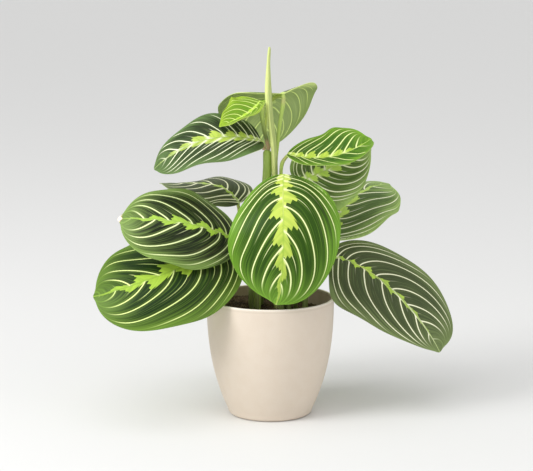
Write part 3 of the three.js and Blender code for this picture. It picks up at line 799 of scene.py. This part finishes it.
def blade_mesh(name, leaf, settings, seed):
    """The blade as a thin closed sheet that swells a little between its veins."""
    spec = leaf.spec
    rows, columns = settings.rows, settings.columns
    even = (1 - np.cos(np.pi * np.arange(rows + 1) / rows)) / 2
    s, v = np.meshgrid(BLADE_END + (1 - 2 * BLADE_END) * even, np.linspace(-1, 1, columns + 1), indexing="ij")
    middle, out = leaf.spread(s, v, settings.tip / MM * (1 + spec["dry"]))
    far = np.abs(v)
    wander = WANDER * np.sin(9 * s + 3 * far + seed) * np.cos(5 * far - 4 * s + 2 * seed)
    wander = wander * np.minimum(1, far / 0.2)
    left, right = (VEIN_RUNS[run] for run in np.broadcast_to(spec["run"], 2))
    furthest, straight = np.where(v[..., None] < 0, right, left).transpose(2, 0, 1)
    start = vein_start(s, far, leaf.half("sweep", v), furthest, straight)
    phase = leaf.half("veins", v) * start + spec["crowd"] * (1 - np.exp(-start / CROWD_LENGTH)) + wander

    # The distance from one vein to the next, from how fast their count grows across the blade.
    (step_s, step_v), (rise_s, rise_v) = slopes(middle), slopes(phase)
    ss, sv, vv = (step_s**2).sum(-1), (step_s * step_v).sum(-1), (step_v**2).sum(-1)
    slope = (vv * rise_s**2 - 2 * sv * rise_s * rise_v + ss * rise_v**2) / np.maximum(ss * vv - sv**2, 1e-6)
    pitch = np.clip(1 / np.sqrt(np.maximum(slope, 1e-6)), 0.5, 40)
    stripe = spec["feather"] * (0.4 + 0.6 * smooth(s, 0, 0.3)) * (1 - 0.95 * smooth(s, spec["taper"], 1.02))

    share = (phase + leaf.half("shift", v) + 0.5) % 1
    swell = np.sin(np.pi * share) ** 0.7 * (1 - smooth(far, 0.8, 1)) * np.minimum(pitch / 7, 1.3)
    swell = swell * smooth(far, 0, 0.1) * smooth(s, 0, 0.05) * (1 - smooth(s, 0.9, 1))
    middle = middle + unit(np.cross(step_s, step_v)) * (swell * settings.quilt / MM)[..., None]
    lift = unit(np.cross(*slopes(middle))) * settings.thickness / MM / 2

    total = (rows + 1) * (columns + 1)
    index = np.arange(total).reshape(rows + 1, columns + 1)
    a, b, c, d = index[:-1, :-1], index[1:, :-1], index[1:, 1:], index[:-1, 1:]
    rim = np.concatenate((index[:, 0][::-1], index[0, 1:], index[1:, -1], index[-1, 1:-1][::-1]))
    after = np.roll(rim, -1)
    faces = np.concatenate((
        np.stack((a, b, c, d), -1).reshape(-1, 4), np.stack((a, d, c, b), -1).reshape(-1, 4) + total,
        np.stack((rim, after, after + total, rim + total), -1),
    ))
    mesh = bpy.data.meshes.new(name)
    points = np.concatenate(((middle + lift).reshape(-1, 3), (middle - lift).reshape(-1, 3)))
    mesh.from_pydata((points * MM).tolist(), [], faces.tolist())

    twice = lambda values: np.tile(values.ravel(), 2)
    apex = np.linalg.norm(middle - middle[-1, columns // 2], axis=-1)
    store(mesh, "veins", np.stack([twice(k) for k in (phase, pitch, stripe)], -1), "FLOAT_VECTOR", field="vector")
    store(mesh, "reach", twice(out))
    store(mesh, "apex", twice(apex))
    places = np.stack((twice(s), twice(v) / 2 + 0.5), -1)[faces.ravel()].astype(np.float32)
    mesh.uv_layers.new(name="UVMap").data.foreach_set("uv", places.ravel())
    upper = np.arange(len(faces)) < rows * columns
    mesh.polygons.foreach_set("material_index", (~upper).astype(np.int32))
    mesh.shade_smooth()
    ends = np.empty(len(mesh.edges) * 2, np.int32)
    mesh.edges.foreach_get("vertices", ends)
    ends = ends.reshape(-1, 2)
    on_rim = np.isin(ends % total, rim).all(1) & (ends[:, 0] // total == ends[:, 1] // total)
    store(mesh, "sharp_edge", on_rim, "BOOLEAN", "EDGE", kind=bool)
    mesh.update()
    return mesh


# ---- lines that stems follow

def smooth_line(points, steps):
    """Points on the smooth line through the given ones, the same number between each two."""
    p = np.array(points, float)
    p = np.concatenate(([2 * p[0] - p[1]], p, [2 * p[-1] - p[-2]]))
    gaps = np.maximum(np.linalg.norm(np.diff(p, axis=0), axis=1) ** 0.5, 1e-4)[:, None]
    pace = np.diff(p, axis=0) / gaps
    pace = pace[:-1] - (p[2:] - p[:-2]) / (gaps[:-1] + gaps[1:]) + pace[1:]
    t = (np.arange(steps) / steps)[:, None]
    line = [
        p[i] * (2 * t**3 - 3 * t**2 + 1) + p[i + 1] * (3 * t**2 - 2 * t**3)
        + gaps[i] * (pace[i - 1] * (t**3 - 2 * t**2 + t) + pace[i] * (t**3 - t**2))
        for i in range(1, len(p) - 2)
    ]
    return np.concatenate((*line, p[-2:-1]))


def even_line(line, values, step):
    """The same line with its points at even steps, and the values that belong to them."""
    runs = np.append(0, np.cumsum(np.linalg.norm(np.diff(line, axis=0), axis=1)))
    at = np.linspace(0, runs[-1], max(2, int(round(runs[-1] / step)) + 1))
    return np.stack([np.interp(at, runs, line[:, k]) for k in range(3)], -1), np.interp(at, runs, values)


def bell(values, middle, width):
    return np.exp(-(((values - middle) / width) ** 2))


def stalk_line(leaf, step):
    """The stalk's line, radii, how tan it is and where it is a midrib: thicker where it leaves the
    soil, with a small swollen joint below the blade, and on beneath the blade as its raised midrib.
    A stalk that starts on the main shoot has a dry tan wrap round its foot."""
    spec = leaf.spec
    thick = spec["stalk"]
    soiled = "foot" in spec
    low = [(*spec["foot"], z) for z in (HOLE_BOTTOM, SOIL_TOP + STALK_UPRIGHT)] if soiled else [spec["start"]]
    climb = smooth_line([*low, *spec["by"], leaf.beneath(0, 0.4 + thick)], 12)
    climb, _ = even_line(climb, np.zeros(len(climb)), step)
    left = np.append(np.linalg.norm(np.diff(climb, axis=0), axis=1)[::-1].cumsum()[::-1], 0)
    radii = thick * (0.9 + FOOT_SWELL * soiled * (1 - smooth(climb[:, 2], SOIL_TOP, SOIL_TOP + FOOT_LENGTH)))
    radii = radii * (1 + JOINT_SWELL * bell(left, JOINT_LENGTH, JOINT_LENGTH / 2))
    tan = 0.4 * bell(left, JOINT_LENGTH / 2, JOINT_LENGTH / 3)
    if not soiled:
        tan = np.maximum(tan, 0.9 * (1 - smooth(climb[:, 2], WRAP_START, WRAP_END)))

    s = np.linspace(0.01, RIB_END, 60)
    under = thick * 0.9 * (1 - s / RIB_END) ** 0.8 + 0.22
    depth = 0.2 + under * (0.9 - 0.25 * smooth(s, 0, 0.25))
    join = lambda one, two: np.concatenate((one[:-1], two))
    return (join(climb, leaf.beneath(s, depth)), join(radii, under), join(tan, np.zeros(len(s))),
            join(np.zeros(len(climb)), smooth(s, 0, 0.12)))


# ---- operators

def plant(context):
    return context.scene.prayer_plant


def pot_radius(pot, z):
    """The pot's outer radius at height z, for a number or for a flow of numbers."""
    return pot.rim_radius - pot.foot_lean * ((pot.height - z) / pot.height) ** LEAN_POWER


class BuildPot(bpy.types.Operator):
    """Turns the pot: plain tapered wall, rounded lip and flat foot"""
    bl_idname = "plant.build_pot"
    bl_label = "Build pot"

    WALL_ROWS = 34

    def shade(self, board, shader, pattern, pot):
        """A painted highlight on the lip with a faint painted shadow line below it, and painted shade on the
        inside wall, tinted brown like light bounced off the soil.
        """
        x, y, z = board.parts(object_place(board))
        depth = pot_radius(pot, z) - board.maths("SQRT", x * x + y * y)
        # Painted shade on the inside wall, tinted brown like light bounced off the soil.
        inside = board.ramp(depth, 0.7 * pot.wall, 0.95 * pot.wall)
        below = lambda start, end: board.ramp(z, pot.height - start * MM, pot.height - end * MM)
        body = board.coat(
            pattern.outputs["Colour"], (below(4, 2.8) * below(1.8, 2.8) * 0.12, LIP_SHADOW),
            (below(1.6, 0.8) * 0.5, LIP_HIGHLIGHT), (inside * 0.55, INSIDE_SHADE),
        )
        board.plug(shader.inputs["Base Color"], body)

    def execute(self, context):
        pot = plant(context).pot
        lip, corner = POT_LIP * MM, POT_CORNER * MM
        heel, top, middle = pot_radius(pot, corner) - corner, pot.height - lip, pot.rim_radius - pot.wall / 2
        arc = lambda start, end, steps: np.radians(np.linspace(start, end, steps))
        points = [(r, 0) for r in np.linspace(0, heel, 6)]
        points += [(heel + corner * math.sin(a), corner * (1 - math.cos(a))) for a in arc(15, 75, 5)]
        points += [(pot_radius(pot, z), z) for z in np.linspace(corner, top, self.WALL_ROWS)]
        points += [(middle + pot.wall / 2 * math.cos(a), top + lip * math.sin(a)) for a in arc(15, 165, 9)]
        inside = np.linspace(top, pot.floor + corner, self.WALL_ROWS)
        points += [(pot_radius(pot, z) - pot.wall, z) for z in inside]
        points += [(r, pot.floor) for r in np.linspace(pot_radius(pot, pot.floor) - pot.wall - corner, 0, 5)]
        material, *wiring = speckled_material("Pot", pot.body, pot.speck, 0.6, 0.3, 0.55, 0.05)
        self.shade(*wiring, pot)
        profile = chain_mesh("pot_profile", [(r, 0, z) for r, z in points])
        values = {"Points": len(points), "Sides": pot.sides, "Material": material}
        seat(grow("pot_body", profile, shared("Turned form", turned_tree), values), "pot", "pot")
        return {"FINISHED"}


class BuildSoil(bpy.types.Operator):
    """Fills the pot with lumpy soil and strews crumbs over it"""
    bl_idname = "plant.build_soil"
    bl_label = "Build soil"

    SLOPE = 0.09
    RINGS = 60
    SIDES = 180
    WALL_ROWS = 20
    BARE_EDGE = 1.2

    def height(self, x, y, soil):
        lumps = math.sin(x / 5 + math.sin(y / 7)) * math.cos(y / 6) + 0.5 * math.sin((x + 2 * y) / 4)
        fine = noise.fractal(Vector((x / 3, y / 3, 5)), 0.8, 2.2, 4)
        return soil.level / MM - self.SLOPE * x + soil.lump / MM * (lumps + 0.9 * fine)

    def execute(self, context):
        soil, pot = plant(context).soil, plant(context).pot
        top, floor = soil.level / MM, pot.floor / MM + SOIL_GAP
        inner = lambda z: (pot_radius(pot, z * MM) - pot.wall) / MM - SOIL_GAP
        edge = inner(top)
        rings = [(edge * i / self.RINGS, None) for i in range(1, self.RINGS + 1)]
        rings += [(inner(z), z) for z in np.linspace(top - 6, floor + POT_CORNER, self.WALL_ROWS)]
        rings += [(inner(floor) - POT_CORNER, floor)]
        points = [(0, 0, self.height(0, 0, soil))]
        for radius, z in rings:
            for angle in TURN * np.arange(self.SIDES) / self.SIDES:
                x, y = radius * math.cos(angle), radius * math.sin(angle)
                points.append((x, y, self.height(x, y, soil) if z is None else z))
        points.append((0, 0, floor))
        index = np.arange(1, len(points) - 1).reshape(-1, self.SIDES)
        after = np.roll(index, -1, 1)
        faces = [(0, a, b) for a, b in zip(index[0], after[0])]
        faces += np.stack((index[:-1], index[1:], after[1:], after[:-1]), -1).reshape(-1, 4).tolist()
        faces += [(b, a, len(points) - 1) for a, b in zip(index[-1], after[-1])]
        mesh = bpy.data.meshes.new("soil_bed")
        mesh.from_pydata((np.array(points) * MM).tolist(), [], faces)
        mesh.shade_smooth()
        material = speckled_material("Soil", soil.dark, soil.light, 1.2, 0.5, 0.95, 0.6)[0]
        mesh.materials.append(material)
        bed = add_object("soil_bed", mesh)
        values = {"Size": soil.crumb, "Amount": float(soil.crumbs), "Edge": (edge - self.BARE_EDGE) * MM,
                  "Seed": soil.seed, "Material": material}
        seat(bed, "soil", "soil")
        seat(grow("soil_crumbs", mesh.copy(), shared("Soil crumbs", crumb_tree), values), "soil")
        return {"FINISHED"}


class BuildShoots(bpy.types.Operator):
    """Wraps the main shoot's sheaths and rolls up the young leaf"""
    bl_idname = "plant.build_shoots"
    bl_label = "Build shoots"

    STEPS = 12
    LOW_SHADE = 0.45

    def execute(self, context):
        shoot = plant(context).shoot
        for name, spec in SHOOTS.items():
            line = smooth_line(spec["line"], self.STEPS)
            radii = np.interp(np.arange(len(line)) / self.STEPS, range(len(spec["radii"])), spec["radii"])
            line, radii = even_line(line, radii, shoot.step / MM)
            radii[-2:] = radii[-2:] * ROUNDED_END
            high = shoot.sheath if spec["slot"] == "sheath" else shoot.rolled
            low = [self.LOW_SHADE * part for part in high[:3]] + [1.0]
            material = stem_material(name, low, high, spec["seam"])
            stored = {"thick": radii * MM}
            stem = grow_stem(name + "_wrap", line * MM, stored, shoot.sides, material, spec["seam"], spec["twist"])
            seat(stem, spec["slot"], name)
        return {"FINISHED"}


class BuildStalks(bpy.types.Operator):
    """Grows each leaf's stalk and the raised midrib under its blade"""
    bl_idname = "plant.build_stalks"
    bl_label = "Build stalks"

    def execute(self, context):
        stalk = plant(context).stalk
        material = stem_material("Stalk", stalk.low, stalk.high, 0, stalk.midrib)
        for name, spec in LEAVES.items():
            line, radii, tan, rib = stalk_line(Leaf(spec), stalk.step / MM)
            stored = {"thick": radii * MM, "tan": tan, "rib": rib}
            stem = grow_stem(f"{name}_stalk", line * MM, stored, stalk.sides, material)
            seat(stem, "stalk", f"leaf_{name}_stalk")
        return {"FINISHED"}


class BuildBlades(bpy.types.Operator):
    """Spreads each leaf's blade, veined and marked"""
    bl_idname = "plant.build_blades"
    bl_label = "Build blades"

    def execute(self, context):
        blade = plant(context).blade
        for seed, (name, spec) in enumerate(LEAVES.items(), 1):
            leaf = Leaf(spec)
            mesh = blade_mesh(f"{name}_blade", leaf, blade, seed)
            for material in leaf_materials(f"{name} leaf", leaf.spec, seed, blade.vein):
                mesh.materials.append(material)
            seat(add_object(mesh.name, mesh), TONES[spec["tone"]][-1], f"leaf_{name}_blade")
        return {"FINISHED"}


class BuildStage(bpy.types.Operator):
    """Sets the floor, the lights and the camera"""
    bl_idname = "plant.build_stage"
    bl_label = "Build stage"

    TARGET = Vector((-3.4, 0, 163)) * MM
    DISTANCE = 1.6
    PITCH = math.radians(10)
    LENS = 120.3
    SENSOR = 36
    FLOOR_REACH = 40
    FLOOR_DROP = 0.05 * MM

    def light(self, name, sort, energy):
        lamp = add_object(name, bpy.data.lights.new(name, sort))
        lamp.data.energy = energy
        return lamp

    def execute(self, context):
        scene, stage, far = context.scene, plant(context).stage, self.FLOOR_REACH
        mesh = bpy.data.meshes.new("floor")
        mesh.from_pydata([(-far, -far, 0), (far, -far, 0), (far, far, 0), (-far, far, 0)], [], [(0, 1, 2, 3)])
        material, _, shader = new_material("Floor", 0.7, 0.2)
        shader.inputs["Base Color"].default_value = stage.floor
        mesh.materials.append(material)
        floor = add_object("floor", mesh)
        floor.location.z = -self.FLOOR_DROP

        for name, place, size in (("key", (-1.5, -0.95, 1.25), 1), ("fill", (1.3, -1, 0.8), 1.2)):
            lamp = self.light(name, "AREA", getattr(stage, name))
            lamp.data.size = size
            lamp.location = place
            lamp.rotation_euler = (self.TARGET - Vector(place)).to_track_quat("-Z", "Y").to_euler()
        above = self.light("above", "SUN", stage.above)
        above.data.angle = math.radians(60)
        above.rotation_euler = (math.radians(20), math.radians(-12), 0)
        scene.world = bpy.data.worlds.new("Even light")
        scene.world.use_nodes = True
        sky = scene.world.node_tree.nodes["Background"]
        sky.inputs["Color"].default_value = (1, 1, 1, 1)
        sky.inputs["Strength"].default_value = stage.sky
        scene.view_settings.view_transform = "Standard"

        camera = add_object("camera", bpy.data.cameras.new("camera"))
        camera.location = self.TARGET + Vector((0, -math.cos(self.PITCH), math.sin(self.PITCH))) * self.DISTANCE
        camera.rotation_euler = (math.pi / 2 - self.PITCH, 0, 0)
        camera.data.sensor_width, camera.data.lens = self.SENSOR, self.LENS
        scene.camera = camera
        return {"FINISHED"}


class PlantPanel(bpy.types.Panel):
    bl_label = "Potted prayer plant"
    bl_idname = "VIEW3D_PT_prayer_plant"
    bl_space_type = "VIEW_3D"
    bl_region_type = "UI"
    bl_category = "Plant"

    def draw(self, context):
        for part, operator in PARTS.items():
            column = self.layout.column()
            column.operator(operator.bl_idname)
            settings = getattr(plant(context), part)
            for name in settings.__annotations__:
                column.prop(settings, name)


PARTS = {"stage": BuildStage, "pot": BuildPot, "soil": BuildSoil, "shoot": BuildShoots, "stalk": BuildStalks,
         "blade": BuildBlades}
CLASSES = (PotSettings, SoilSettings, BladeSettings, StalkSettings, ShootSettings, StageSettings, PlantSettings,
           *PARTS.values(), PlantPanel)


def register():
    for made in CLASSES:
        bpy.utils.register_class(made)
    bpy.types.Scene.prayer_plant = bpy.props.PointerProperty(type=PlantSettings)


def unregister():
    del bpy.types.Scene.prayer_plant
    for made in reversed(CLASSES):
        bpy.utils.unregister_class(made)


def main():
    register()
    bpy.ops.plant.build_stage()
    bpy.ops.plant.build_pot()
    bpy.ops.plant.build_soil()
    bpy.ops.plant.build_shoots()
    bpy.ops.plant.build_stalks()
    bpy.ops.plant.build_blades()


if __name__ == "__main__":
    main()
